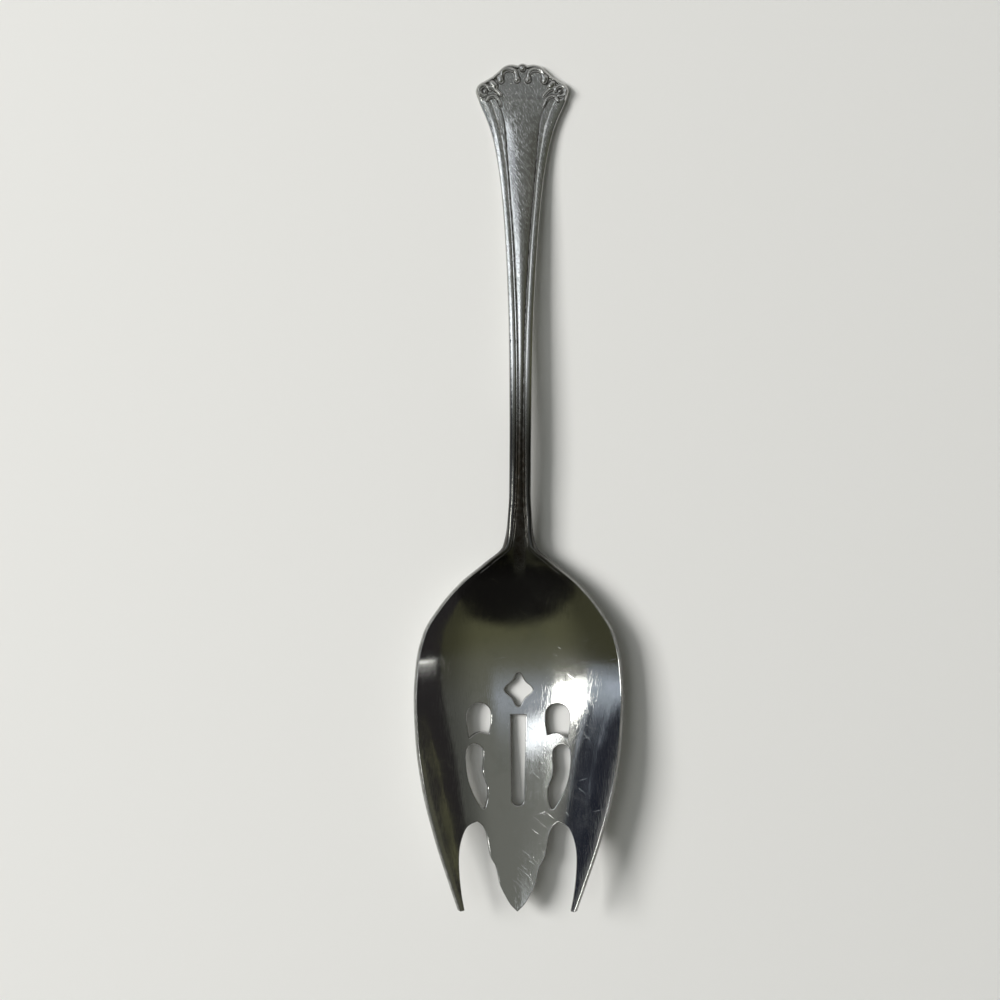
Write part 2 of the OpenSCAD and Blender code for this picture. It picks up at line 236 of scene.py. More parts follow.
# Openings, as the top of the sheet shows them: places from the tips and the centre line, then shares
openings = {
    "diamond": {"at": (0, 56.9), "size": (7.5, 8.9),
                "quarter": [(0, 1), (0.16, 0.93), (0.44, 0.5), (0.86, 0.2), (1, 0)]},
    "eye": {"at": (10.3, 44.3), "size": (6.3, 9.2), "outer": [(1, 0.4), (0.8, 0)],
            "foot": [(0.8, 0), (0.35, 0.12), (-0.1, 0.17), (-0.84, 0.1)], "inner": [(-0.84, 0.1), (-1, 0.4)]},
    "slot": {"at": (0, 26.7), "width": 4, "endWidth": 3.2, "length": 23.6},
    "leaf": {"at": (7.9, 26.1), "size": (5.7, 16.8),
             "outer": [(0.12, 0), (0.28, 0.02), (0.63, 0.22), (0.89, 0.46), (1, 0.72), (0.97, 0.92)],
             "head": [(0.97, 0.92), (0.82, 0.98), (0.6, 1), (0.38, 0.97), (0.22, 0.91)],
             "inner": [(0.22, 0.91), (0.21, 0.76), (0.22, 0.55), (0, 0.33)],
             "foot": [(0, 0.33), (0, 0.15), (0.12, 0)]},
    "gap": {"size": (30.2, 22.9), "short": 0.8,
            "outer": [(0.7, 1), (0.87, 0.94), (0.965, 0.79), (1, 0.63), (0.99, 0.42), (0.95, 0.19), (0.895, 0)],
            "inner": [(0.7, 1), (0.6, 0.945), (0.535, 0.85), (0.495, 0.7), (0.455, 0.59), (0.375, 0.5)],
            "point": [(0.375, 0.5), (0.335, 0.4), (0.3, 0.29), (0.22, 0.18), (0.12, 0.07), (0.012, 0)]},
}


def scaledRun(shares, width, length, across=0.0, up=0.0):
    return [Vector((p.x * width + across, p.y * length + tipsY + up)) for p in through(shares)]


# Where a point of the sheet's top lay in the flat blank, which the underside keeps
def blankPoint(point):
    across = abs(point.x)
    for _ in range(8):
        slope = underside(point.y, min(across / halfWidth(point.y), 1.0))[1]
        across = abs(point.x) + (1 - handlePart(point.y)) * gauge(point.y) * math.sin(math.atan(slope))
    return Vector((math.copysign(across, point.x), point.y))


def diamondLoop():
    o = openings["diamond"]
    quarter = [Vector((p.x * o["size"][0] / 2, p.y * o["size"][1] / 2)) for p in through(o["quarter"])]
    right = quarter + [Vector((p.x, -p.y)) for p in reversed(quarter[:-1])]
    loop = right + [Vector((-p.x, p.y)) for p in reversed(right[1:-1])]
    return [Vector((p.x, p.y + tipsY + o["at"][1])) for p in loop]


def eyeLoop():
    o = openings["eye"]
    x, up = o["at"]
    w, l = o["size"]
    head = arcRun((x, tipsY + up + l - w / 2), w / 2, 0, 180, 16)
    foot = scaledRun(o["foot"], w / 2, l, x, up)
    lower = Vector((x - w / 2, tipsY + up + 0.4 * l))
    upper = Vector((x + w / 2, tipsY + up + 0.4 * l))
    return head + [lower] + list(reversed(foot)) + [upper]


def slotLoop():
    o = openings["slot"]
    up = tipsY + o["at"][1]
    r = o["endWidth"] / 2
    return [Vector((o["width"] / 2, up + o["length"])), Vector((-o["width"] / 2, up + o["length"]))] \
        + arcRun((0, up + r), r, 180, 360, 16)


def leafLoop():
    o = openings["leaf"]
    loop = []
    for part in ("outer", "head", "inner", "foot"):
        loop += scaledRun(o[part], *o["size"], *o["at"])[:-1]
    return loop


def outerLoop():
    w, l = openings["gap"]["size"]
    short = openings["gap"]["short"]  # the outer tines end this far behind the centre tine
    gapOuter = [blankPoint(p) for p in scaledRun(openings["gap"]["outer"], w / 2, l - short, 0, short)]
    gapInner = [blankPoint(p) for part in ("inner", "point")
                for p in scaledRun(openings["gap"][part], w / 2, l)[1 if part == "point" else 0:]]
    sideStart, sideEnd = tipsY + short, endY - fanEnd["cornerDown"]
    steps = 420
    side = [Vector((halfWidth(mix(sideStart, sideEnd, k / steps)), mix(sideStart, sideEnd, k / steps)))
            for k in range(steps)]
    right = list(reversed(gapInner))[:-1] + gapOuter + side + fanEndRun()
    tip = Vector((0, tipsY - 0.35))  # the centre tine's point before it is blunted
    return [tip] + right[1:] + mirrored(right[1:-1])


def turn(before, here, after):
    a, b = here - before, after - here
    return math.degrees(math.atan2(a.x * b.y - a.y * b.x, a.dot(b)))


def cleaned(loop):
    kept = []
    for p in loop:
        if not kept or (p - kept[-1]).length > 0.01:
            kept.append(p)
    return kept[:-1] if (kept[0] - kept[-1]).length < 0.01 else kept


# Even spacing between the sharp corners of a closed loop, and an arc over each corner of metal that sticks out
def finished(loop, gap, radius, side, sharp=28):
    loop = cleaned(loop)
    count = len(loop)
    corners = [i for i in range(count)
               if abs(turn(loop[i - 1], loop[i], loop[(i + 1) % count])) > sharp] or [0]
    out = []
    for n, start in enumerate(corners):
        stop = corners[(n + 1) % len(corners)]
        span = (stop - start) % count or count
        run = [loop[(start + k) % count] for k in range(span + 1)]
        lengths = [0.0]
        for a, b in zip(run, run[1:]):
            lengths.append(lengths[-1] + (b - a).length)

        def at(distance):
            i = 0
            while i + 2 < len(lengths) and distance > lengths[i + 1]:
                i += 1
            return run[i].lerp(run[i + 1], (distance - lengths[i]) / (lengths[i + 1] - lengths[i]))

        def cornerCut(corner):
            bend = side * turn(loop[corner - 1], loop[corner], loop[(corner + 1) % count])
            return radius * math.tan(math.radians(bend) / 2) if bend > sharp else 0.0

        head, tail = cornerCut(start), cornerCut(stop)
        pieces = max(2, round((lengths[-1] - head - tail) / gap))
        out.append(([at(mix(head, lengths[-1] - tail, k / pieces)) for k in range(pieces + 1)], tail, loop[stop]))
    points = []
    for n, (run, tail, corner) in enumerate(out):
        points += run[:-1]
        if not tail:
            continue
        points.append(run[-1])
        nextStart = out[(n + 1) % len(out)][0][0]
        middle = (run[-1] + nextStart) / 2
        away = (middle - corner).normalized()
        half = math.atan2((run[-1] - middle).length, (middle - corner).length)
        centre = corner + away * radius / math.sin(half)
        a, b = run[-1] - centre, nextStart - centre
        swing = math.radians(turn(Vector((0, 0)), a, a + b))
        steps = max(3, round(abs(math.degrees(swing)) / 14))
        for k in range(1, steps):
            angle = swing * k / steps
            points.append(centre + Vector((a.x * math.cos(angle) - a.y * math.sin(angle),
                                           a.x * math.sin(angle) + a.y * math.cos(angle))))
    return cleaned(points)


# The cut edges are painted dark, a painted shade: ground is how far in it reaches, and the pair after it how dark it
# is on the top and on the underside
edges = {"gap": 0.55, "tipRadius": 0.34, "rings": [0.03, 0.09, 0.2, 0.25], "round": 0.2, "ground": 0.1,
         "edgePaintedShade": (0.8, 0.4)}


def bottomLoops():
    loops = [finished(outerLoop(), edges["gap"], edges["tipRadius"], 1)]
    for loop in (diamondLoop(), slotLoop()):
        loops.append(finished([blankPoint(p) for p in loop], edges["gap"], edges["tipRadius"], -1))
    for loop in (eyeLoop(), leafLoop()):
        right = finished([blankPoint(p) for p in loop], edges["gap"], edges["tipRadius"], -1)
        loops += [right, mirrored(right)]
    return loops


# Ornament in the fan's end, right half: runs of (across, up) with half width and height
ornament = [
    {"run": through([(5.5, 107.2), (5.25, 108.3), (4.25, 109.05), (3.1, 109.15), (2.1, 108.75), (1.6, 107.9),
                     (1.6, 106.9)]), "half": 0.55, "height": 0.5},
    {"run": [(1.45, 106.5)], "half": 0.85, "height": 0.6},
    {"run": [(0, 109.4)], "half": 0.8, "height": 0.5},
    {"run": through([(5.75, 106.2), (5.95, 106.9)]), "half": 0.85, "height": 0.62},
    {"run": through([(7.3, 104.85), (7.9, 105.45)]), "half": 0.85, "height": 0.6},
    {"run": arcRun((9.95, 103.5), 1.3, -110, 170, 24), "half": 0.48, "height": 0.5},
    {"run": [(9.85, 103.4)], "half": 0.62, "height": 0.5},
    {"run": through([(8.6, 104.4), (7.7, 104.1), (6.7, 103.5), (5.8, 102.5)]), "half": 0.52, "height": 0.45},
    {"run": through([(9.3, 101.0), (8.7, 101.85), (7.75, 102.15), (6.85, 101.8), (6.3, 101.0), (5.8, 99.8)]),
     "half": 0.48, "height": 0.4},
]
for ridge in ornament:
    points = []
    run = [Vector(p) for p in ridge["run"]]
    for a, b in zip(run, run[1:]):
        parts = max(1, math.ceil((b - a).length / 0.08))
        points += [a.lerp(b, k / parts) for k in range(parts)]
    points.append(run[-1])
    tree = kdtree.KDTree(len(points))
    for k, p in enumerate(points):
        tree.insert((p.x, p.y, 0), k)
    tree.balance()
    ridge["tree"] = tree


# Height of the coined top over its plain level, and how dark the point is painted: dirt and painted shade along the
# line round the panel, painted shade round the ornament ridges, and a little darker over the fan's end
def coined(across, y, fromEdge):
    half, groove, panel = grooves(y)
    r = relief
    crest = r["crest"] * (half - groove)
    if across >= groove:
        if fromEdge < crest:
            height = -r["borderDrop"] * (1 - fromEdge / crest) ** 2
        else:
            height = -r["grooveDepth"] * min(1.0, (fromEdge - crest) / (half - groove - crest)) ** 6
    elif across >= panel:
        inward = (groove - across) / (groove - panel)
        height = mix(-r["grooveDepth"], r["threadRise"] * (groove - panel) * inward - r["threadDepth"],
                     ease(4 * inward * (groove - panel) / 0.6))
    else:
        height = crownRise(y) * (1 - (across / panel) ** 2) - r["panelDepth"]
    height -= r["lineDepth"] * math.exp(-((across - panel) / r["lineWide"]) ** 2) + r["lowered"]
    # Dirt and painted shade along the line round the panel
    dirtAndShade = math.exp(-((across - panel) / r["grooveDarkWide"]) ** 2)
    top = 1 - ease((r["channelEnd"][1] - y) / (r["channelEnd"][1] - r["channelEnd"][0]))
    if top > 0:
        ground = -r["panelDepth"] - r["lowered"]
        if fromEdge < r["rimWide"]:
            bump = r["rimBump"] * math.sin(math.pi * min(1.0, fromEdge / r["rimWide"]))
            ground += bump - r["rimDrop"] * (1 - fromEdge / r["rimWide"]) ** 2
        height = mix(height, ground, top)
        # The fan's end is painted a little darker all over
        dirtAndShade = mix(dirtAndShade, r["fanDarker"], top)
    if y > r["ornamentFrom"]:
        raised, nearest = 0.0, 9.0
        for ridge in ornament:
            distance = ridge["tree"].find((across, y, 0))[2] / ridge["half"]
            nearest = min(nearest, distance)
            if distance < 1:
                raised = max(raised, ridge["height"] * math.sqrt(1 - distance * distance))
        height += raised * ease((y - r["ornamentFrom"]) / r["ornamentFade"])
        # Painted shade in a ring round the foot of each ornament ridge
        if nearest < 1.6:  # half widths from the middle of a ridge
            dirtAndShade = max(dirtAndShade, r["ornamentPaintedShade"] * ease((1.6 - nearest) / 0.5) * ease((nearest - 0.7) / 0.3))
    return height, dirtAndShade


def pressed(x, y, ring, fromEdge, upper):
    across = abs(x)
    share = min(across / halfWidth(y), 1.0)
    low, slope = underside(y, share)
    angle = math.atan(slope)
    part = handlePart(y)
    left = max(0.0, edges["round"] - ring)
    rounding = edges["round"] - math.sqrt(edges["round"] ** 2 - left ** 2)
    ground = max(0.0, 1 - ring / edges["ground"])
    # The value returned with each point is how dark it is painted: painted shade along the cut edges, and on the top
    # also the dirt and painted shade from the coining
    if not upper:
        return Vector((math.copysign(across - (1 - part) * rounding * math.sin(angle), x), y,
                       low + rounding * mix(math.cos(angle), 1, part))), ground * edges["edgePaintedShade"][1]
    thick = gauge(y) - rounding
    sheetTop = (across - thick * math.sin(angle), low + thick * math.cos(angle))
    height, dirtAndShade = coined(across, y, fromEdge) if part > 0 else (0.0, 0.0)
    coinTop = (across, floorLine(y) + thick + height)
    spot = (mix(sheetTop[0], coinTop[0], part), mix(sheetTop[1], coinTop[1], part))
    # The darker of the painted shade along the cut edges and the coining's dirt and painted shade
    dark = max(dirtAndShade * part, ground * edges["edgePaintedShade"][0])
    return Vector((math.copysign(spot[0], x) if across > 1e-6 else 0.0, y, spot[1])), dark


stretch = 10.0  # the straightened blank is drawn this many times wider


def straightened(x, y):
    half, groove, panel = grooves(y)
    a = abs(x)
    if a <= panel:
        u = a / panel
    elif a <= groove:
        u = 1 + (a - panel) / (groove - panel)
    else:
        u = 2 + (a - groove) / (half - groove)
    return math.copysign(u * stretch, x)


def bentBack(u, y):
    half, groove, panel = grooves(y)
    a = abs(u) / stretch
    if a <= 1:
        x = a * panel
    elif a <= 2:
        x = mix(panel, groove, a - 1)
    else:
        x = mix(groove, half, a - 2)
    return math.copysign(x, u)


def evenCuts(start, end, count):
    return [mix(start, end, k / count) for k in range(1, count)]


# Grid over the blank: zones by their start, parts across the panel, thread and border, and pitch along
topZones = [
    {"from": -200, "bands": (28, 1, 3), "pitch": 1.0},
    {"from": -30, "bands": (16, 3, 8), "pitch": 0.5},
    {"from": -6, "bands": (8, 5, 12), "pitch": 0.9},
    {"from": 84, "bands": (26, 8, 14), "pitch": 0.3},
    {"from": 96, "bands": (42, 12, 18), "pitch": 0.18},
]
backZones = [
    {"from": -200, "bands": (16, 1, 2), "pitch": 1.8},
    {"from": -30, "bands": (8, 1, 2), "pitch": 1.2},
    {"from": -6, "bands": (3, 1, 3), "pitch": 2.5},
]
draft = 1.0


def acrossCuts(bands):
    half = [1 - 0.07, 1 - 0.03]
    for n, count in enumerate(bands):
        parts = max(1, round(count / draft))
        even = [k / parts for k in range(parts)]
        half += [n + (k ** 1.5 if n == 2 else mix(k, ease(k), 0.6) if n == 1 else k) for k in even]
    cuts = sorted(half)
    return [-c * stretch for c in reversed(cuts) if c > 0] + [c * stretch for c in cuts]


def sliced(bm, faces, axis, cuts):
    done, rest = [], faces
    normal = Vector((0, 0, 0))
    normal[axis] = 1
    for place in cuts:
        low = min(v.co[axis] for f in rest for v in f.verts) if rest else place
        if not rest or place <= low:
            continue
        point = Vector((0, 0, 0))
        point[axis] = place
        geometry = rest + list({e for f in rest for e in f.edges}) + list({v for f in rest for v in f.verts})
        cut = bmesh.ops.bisect_plane(bm, geom=geometry, dist=1e-5, plane_co=point, plane_no=normal)
        pieces = [g for g in cut["geom"] if isinstance(g, bmesh.types.BMFace)]
        rest = []
        for face in pieces:
            (rest if face.calc_center_bounds()[axis] > place else done).append(face)
    return done + rest


def zonesOf(bm, faces, zones):
    faces = sliced(bm, faces, 1, [zone["from"] for zone in zones[1:]])
    parts = []
    for n, zone in enumerate(zones):
        low = zone["from"]
        high = zones[n + 1]["from"] if n + 1 < len(zones) else 200
        own = [f for f in faces if low < f.calc_center_bounds().y < high]
        parts.append({"faces": own, "from": max(low, tipsY), "to": min(high, endY), "zone": zone})
    return parts


# Both skins are cut into rows first, because the fill's triangles are thin along the spoon, and then into strips
def gridded(bm, top, back):
    for part in zonesOf(bm, back, backZones) + zonesOf(bm, top, topZones):
        span = part["to"] - part["from"]
        rows = sliced(bm, part["faces"], 1, evenCuts(part["from"], part["to"],
                                                    round(span / part["zone"]["pitch"] / draft)))
        sliced(bm, rows, 0, acrossCuts(part["zone"]["bands"]))


def spoonMesh():
    bm = bmesh.new()
    for loop in bottomLoops():
        verts = [bm.verts.new((p.x, p.y, 0)) for p in loop]
        for a, b in zip(verts, verts[1:] + verts[:1]):
            bm.edges.new((a, b))
    bmesh.ops.triangle_fill(bm, use_beauty=True, use_dissolve=False, edges=bm.edges[:])
    ringOf = bm.faces.layers.int.new("ring")
    inner = bm.faces[:]
    for face in inner:
        if face.normal.z < 0:
            face.normal_flip()
    reached = 0.0
    for n, depth in enumerate(edges["rings"]):
        made = bmesh.ops.inset_region(bm, faces=inner, thickness=depth - reached, use_even_offset=True,
                                      use_boundary=True)
        for face in made["faces"]:
            face[ringOf] = n + 1
        reached = depth
    bmesh.ops.delete(bm, geom=inner, context="FACES_KEEP_BOUNDARY")
    print("blank outline:", len(bm.verts), "points")

    for v in bm.verts:
        v.co.x = straightened(v.co.x, v.co.y)
    innerRing = [e for e in bm.edges if len(e.link_faces) == 1 and e.link_faces[0][ringOf] == len(edges["rings"])
                 and all(min(f[ringOf] for f in v.link_faces) == len(edges["rings"]) for v in e.verts)]
    bmesh.ops.triangle_fill(bm, use_beauty=True, use_dissolve=False, edges=innerRing)
    for face in bm.faces:
        if face.normal.z < 0:
            face.normal_flip()
    top = [f for f in bm.faces]
    copied = bmesh.ops.duplicate(bm, geom=bm.verts[:] + bm.edges[:] + bm.faces[:])
    back = [g for g in copied["geom"] if isinstance(g, bmesh.types.BMFace)]
    bmesh.ops.translate(bm, vec=(0, 0, -1), verts=[g for g in copied["geom"] if isinstance(g, bmesh.types.BMVert)])
    gridded(bm, [f for f in top if f[ringOf] == 0], [f for f in back if f[ringOf] == 0])
    print("grid cut:", len(bm.faces), "faces")

    slanted = [e for e in bm.edges if len(e.link_faces) == 2 and all(f[ringOf] == 0 for f in e.link_faces)
               and abs(e.verts[0].co.x - e.verts[1].co.x) > 1e-3 and abs(e.verts[0].co.y - e.verts[1].co.y) > 1e-3]
    bmesh.ops.dissolve_edges(bm, edges=slanted, use_verts=False, use_face_split=False)
    spare = [v for v in bm.verts if len(v.link_edges) == 2 and all(f[ringOf] == 0 for f in v.link_faces)]
    bmesh.ops.dissolve_verts(bm, verts=spare)
    print("grid cleaned:", len(bm.faces), "faces")

    for v in bm.verts:
        v.co.x = bentBack(v.co.x, v.co.y)
    ringDepth = bm.verts.layers.float.new("ringDepth")
    # How dark each point is painted: dirt and painted shade
    dirtAndShadeOf = bm.verts.layers.float.new("dirtAndShade")
    depths = [0.0] + edges["rings"]
    for v in bm.verts:
        rings = {f[ringOf] for f in v.link_faces}
        v[ringDepth] = depths[-1] if 0 in rings else depths[min(rings) - (1 if len(rings) == 1 else 0)]
    bmesh.ops.reverse_faces(bm, faces=[f for f in bm.faces if f.calc_center_bounds().z < -0.5])
    rim = [e for e in bm.edges if e.is_boundary and e.verts[0].co.z > -0.5]
    wall = bmesh.ops.extrude_edge_only(bm, edges=rim)
    low = [g for g in wall["geom"] if isinstance(g, bmesh.types.BMVert)]
    bmesh.ops.translate(bm, vec=(0, 0, -1), verts=low)
    loose = {v for e in bm.edges if e.is_boundary for v in e.verts}
    bmesh.ops.remove_doubles(bm, verts=list(loose), dist=1e-4)
    print("open edges left:", sum(1 for e in bm.edges if not e.is_manifold))

    outline = kdtree.KDTree(40000)
    count = 0
    outer = finished(outerLoop(), 0.12, edges["tipRadius"], 1)
    for p in outer:
        if p.y > rootY - spoon["fade"] - 2:
            outline.insert((p.x, p.y, 0), count)
            count += 1
    outline.balance()
    for v in bm.verts:
        x, y, z = v.co
        far = outline.find((x, y, 0))[2] if y > rootY - spoon["fade"] and z > -0.5 else 0.0
        v.co, v[dirtAndShadeOf] = pressed(x, y, v[ringDepth], far, z > -0.5)
    bmesh.ops.recalc_face_normals(bm, faces=bm.faces[:])
    lowest = min(v.co.z for v in bm.verts)
    bmesh.ops.translate(bm, vec=(0, 0, -lowest), verts=bm.verts[:])
    bmesh.ops.scale(bm, vec=(mm, mm, mm), verts=bm.verts[:])
    for face in bm.faces:
        face.smooth = True
    mesh = bpy.data.meshes.new("spoonBody")
    bm.to_mesh(mesh)
    bm.free()
    return mesh


spoonBody = bpy.data.objects.new("spoonBody", spoonMesh())
bpy.context.scene.collection.objects.link(spoonBody)
print("spoon pressed:", len(spoonBody.data.polygons), "faces,",
      sum(len(p.vertices) - 2 for p in spoonBody.data.polygons), "triangles")


def addNode(tree, kind, values=(), **settings):
    node = tree.nodes.new("ShaderNode" + kind)
    for name, value in settings.items():
        setattr(node, name, value)
    for name, value in dict(values).items():
        if isinstance(value, bpy.types.NodeSocket):
            tree.links.new(value, node.inputs[name])
        else:
            node.inputs[name].default_value = value
    return node


def calc(tree, operation, a, b=0.0, clamp=False):
    return addNode(tree, "Math", {0: a, 1: b}, operation=operation, use_clamp=clamp).outputs[0]


# Share from 0 to 1 as the value goes from one limit to the other
def fadeIn(tree, value, start, end):
    return addNode(tree, "MapRange", {"Value": value, "From Min": start, "From Max": end},
                   interpolation_type="SMOOTHSTEP").outputs[0]


def blended(tree, share, a, b):
    node = addNode(tree, "Mix", {"Factor": share}, data_type="RGBA")
    for socket, value in ((node.inputs[6], a), (node.inputs[7], b)):
        if isinstance(value, bpy.types.NodeSocket):
            tree.links.new(value, socket)
        else:
            socket.default_value = (*value, 1)
    return node.outputs[2]


# Fine straight scratches: noise drawn out along one direction, with only its crests kept
def scratchGroup():
    group = bpy.data.node_groups.new("fineScratches", "ShaderNodeTree")
    for name, kind, value in (("Vector", "NodeSocketVector", (0, 0, 0)), ("Turn", "NodeSocketFloat", 0),
                              ("Across", "NodeSocketFloat", 2000), ("Along", "NodeSocketFloat", 60),
                              ("Share", "NodeSocketFloat", 0.1)):
        group.interface.new_socket(name, in_out="INPUT", socket_type=kind).default_value = value
    group.interface.new_socket("Mask", in_out="OUTPUT", socket_type="NodeSocketFloat")
    entry, leave = group.nodes.new("NodeGroupInput"), group.nodes.new("NodeGroupOutput")
    turned = addNode(group, "VectorRotate", {"Vector": entry.outputs["Vector"], "Angle": entry.outputs["Turn"]},
                     rotation_type="Z_AXIS").outputs[0]
    scale = addNode(group, "CombineXYZ", {"X": entry.outputs["Across"], "Y": entry.outputs["Along"],
                                          "Z": entry.outputs["Along"]}).outputs[0]
    drawn = addNode(group, "VectorMath", {0: turned, 1: scale}, operation="MULTIPLY").outputs[0]
    noise = addNode(group, "TexNoise", {"Vector": drawn, "Scale": 1.0, "Detail": 1.0, "Roughness": 0.5}).outputs[0]
    low = calc(group, "SUBTRACT", 0.78, calc(group, "MULTIPLY", entry.outputs["Share"], 0.6))
    crest = addNode(group, "MapRange", {"Value": noise, "From Min": low,
                                        "From Max": calc(group, "ADD", low, 0.1)}).outputs[0]
    group.links.new(crest, leave.inputs["Mask"])
    return group


steel = {
    # The dark brown paints dirt and painted shade; the dark grey after it paints the neck darker, a painted dark
    # reflection
    "colour": (0.63, 0.63, 0.615), "tarnishAndShade": (0.022, 0.017, 0.011), "smudge": (0.52, 0.53, 0.5),
    "paintedDark": (0.05, 0.048, 0.042),
    "polish": 0.035, "haze": 0.04, "smudgeRough": 0.03, "tarnishRough": 0.3, "scratchRough": 0.14,
    "scratchDepth": 0.000005, "grainDepth": 0.000004, "brushDepth": 0.000026, "film": 0.1, "filmRough": 0.34,
    "filmIor": 2.4, "handleRough": 0.07, "handleFrom": (0.0, 0.06),
    # The neck's span, how strongly it is painted dark as a painted dark reflection, and the width of its browner
    # middle
    "neck": (-0.027, -0.018, 0.008, 0.034), "neckPaintedDark": 0.92, "neckWide": 0.0022,
    # Scratches: degrees turned, cells per metre across and along, and the share of the steel they cover
    "grain": ((4, 5600, 240, 0.62), (-8, 6400, 260, 0.5)),
    "marks": ((-52, 5200, 150, 0.08), (17, 4800, 120, 0.06), (71, 5000, 150, 0.06)),
    "brushed": ((-34, 3200, 520, 0.62), (-14, 3600, 600, 0.45)), "brushedFrom": (0.03, 0.065),
    "cloud": 95.0, "cloudFrom": (0.48, 0.68), "smudgeShare": 0.6,
    # Spots make the dirt and painted shade uneven; the share after them sets how dark it is
    "spots": 900.0, "spotsFrom": (0.35, 0.65), "spotsShare": 0.35, "dirtAndShadeShare": 0.72, "bump": 0.5,
}


def stainless():
    material = bpy.data.materials.new("stainless")
    material.use_nodes = True
    tree = material.node_tree
    shader = tree.nodes["Principled BSDF"]
    place = addNode(tree, "TexCoord").outputs["Object"]
    scratches = scratchGroup()

    def scratched(turn, across, along, share):
        node = addNode(tree, "Group", node_tree=scratches)
        tree.links.new(place, node.inputs["Vector"])
        for name, value in (("Turn", math.radians(turn)), ("Across", across), ("Along", along), ("Share", share)):
            node.inputs[name].default_value = value
        return node.outputs["Mask"]

    # Several runs of scratches as one mask
    def layered(runs):
        mask = scratched(*runs[0])
        for run in runs[1:]:
            mask = calc(tree, "MAXIMUM", mask, scratched(*run))
        return mask

    grain, marks, brushed = (layered(steel[name]) for name in ("grain", "marks", "brushed"))
    cloud = addNode(tree, "TexNoise", {"Vector": place, "Scale": steel["cloud"], "Detail": 4.0,
                                       "Roughness": 0.6}).outputs[0]
    smudge = fadeIn(tree, cloud, *steel["cloudFrom"])
    spots = fadeIn(tree, addNode(tree, "TexNoise", {"Vector": place, "Scale": steel["spots"],
                                                    "Detail": 2.0}).outputs[0], *steel["spotsFrom"])
    # Dirt and painted shade from the pressing: along the panel's line, round the ornament, over the fan's end and
    # along the cut edges
    dirtAndShade = addNode(tree, "Attribute", attribute_name="dirtAndShade").outputs["Fac"]
    parts = addNode(tree, "SeparateXYZ", {"Vector": place}).outputs
    across, along = calc(tree, "ABSOLUTE", parts[0]), parts[1]
    # The neck is painted dark all across, a painted dark reflection, and its middle is painted browner still, dirt
    # and painted shade
    neck = calc(tree, "MULTIPLY", fadeIn(tree, along, *steel["neck"][:2]), fadeIn(tree, along, *steel["neck"][:1:-1]))
    channel = calc(tree, "MULTIPLY", neck, fadeIn(tree, across, steel["neckWide"], steel["neckWide"] / 3))
    dirtAndShadeAreas = calc(tree, "MAXIMUM", dirtAndShade, channel)
    spotted = calc(tree, "ADD", calc(tree, "MULTIPLY", spots, steel["spotsShare"]), steel["dirtAndShadeShare"])
    dirtAndShadeMask = calc(tree, "MULTIPLY", dirtAndShadeAreas, spotted, True)
    clean = blended(tree, calc(tree, "MULTIPLY", smudge, steel["smudgeShare"]), steel["colour"], steel["smudge"])
    # Painted dark reflection over the neck
    withDarkNeck = blended(tree, calc(tree, "MULTIPLY", neck, steel["neckPaintedDark"]), clean, steel["paintedDark"])
    tree.links.new(blended(tree, dirtAndShadeMask, withDarkNeck, steel["tarnishAndShade"]), shader.inputs["Base Color"])
    handle = fadeIn(tree, along, *steel["handleFrom"])
    brushed = calc(tree, "MULTIPLY", brushed, fadeIn(tree, along, *steel["brushedFrom"]))
    rough = steel["polish"]
    for mask, amount in ((grain, steel["haze"]), (smudge, steel["smudgeRough"]), (marks, steel["scratchRough"]),
                         (dirtAndShadeMask, steel["tarnishRough"]), (handle, steel["handleRough"])):
        rough = calc(tree, "ADD", rough, calc(tree, "MULTIPLY", mask, amount))
    tree.links.new(rough, shader.inputs["Roughness"])
    fine = addNode(tree, "Bump", {"Height": grain, "Strength": steel["bump"],
                                  "Distance": steel["grainDepth"]}).outputs[0]
    fine = addNode(tree, "Bump", {"Height": brushed, "Strength": steel["bump"], "Distance": steel["brushDepth"],
                                  "Normal": fine}).outputs[0]
    deep = addNode(tree, "Bump", {"Height": marks, "Strength": steel["bump"], "Distance": steel["scratchDepth"],
                                  "Normal": fine}, invert=True).outputs[0]
    tree.links.new(deep, shader.inputs["Normal"])
    shader.inputs["Metallic"].default_value = 1
    film = calc(tree, "MULTIPLY", calc(tree, "ADD", calc(tree, "MULTIPLY", smudge, 0.5), 0.5), steel["film"])
    tree.links.new(film, shader.inputs["Coat Weight"])
    shader.inputs["Coat Roughness"].default_value = steel["filmRough"]
    shader.inputs["Coat IOR"].default_value = steel["filmIor"]
    return material


spoonBody.data.materials.append(stainless())
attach(spoonBody, "root")
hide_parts("serving_spoon")
print("steel finished")

# Pale table top; its colour evens out the brighter light near the lamps
table = {"size": 2.0, "colour": (0.86, 0.86, 0.845), "lampSide": (0.3, 0.3, 0.295), "from": (-0.2, -1.0),
         "roughness": 0.8, "shine": 0.2, "below": 0.00003}
bm = bmesh.new()
bmesh.ops.create_grid(bm, x_segments=1, y_segments=1, size=table["size"] / 2)
bmesh.ops.translate(bm, vec=(0, 0, -table["below"]), verts=bm.verts[:])
tableMesh = bpy.data.meshes.new("tableTop")
bm.to_mesh(tableMesh)
bm.free()
tableTop = bpy.data.objects.new("tableTop", tableMesh)
bpy.context.scene.collection.objects.link(tableTop)
paleStone = bpy.data.materials.new("paleStone")
paleStone.use_nodes = True
stoneShader = paleStone.node_tree.nodes["Principled BSDF"]
stoneParts = addNode(paleStone.node_tree, "SeparateXYZ", {
    "Vector": addNode(paleStone.node_tree, "TexCoord").outputs["Object"]}).outputs
paleStone.node_tree.links.new(blended(paleStone.node_tree, fadeIn(paleStone.node_tree, stoneParts[0], *table["from"]),
                                      table["colour"], table["lampSide"]), stoneShader.inputs["Base Color"])
stoneShader.inputs["Roughness"].default_value = table["roughness"]
stoneShader.inputs["Specular IOR Level"].default_value = table["shine"]
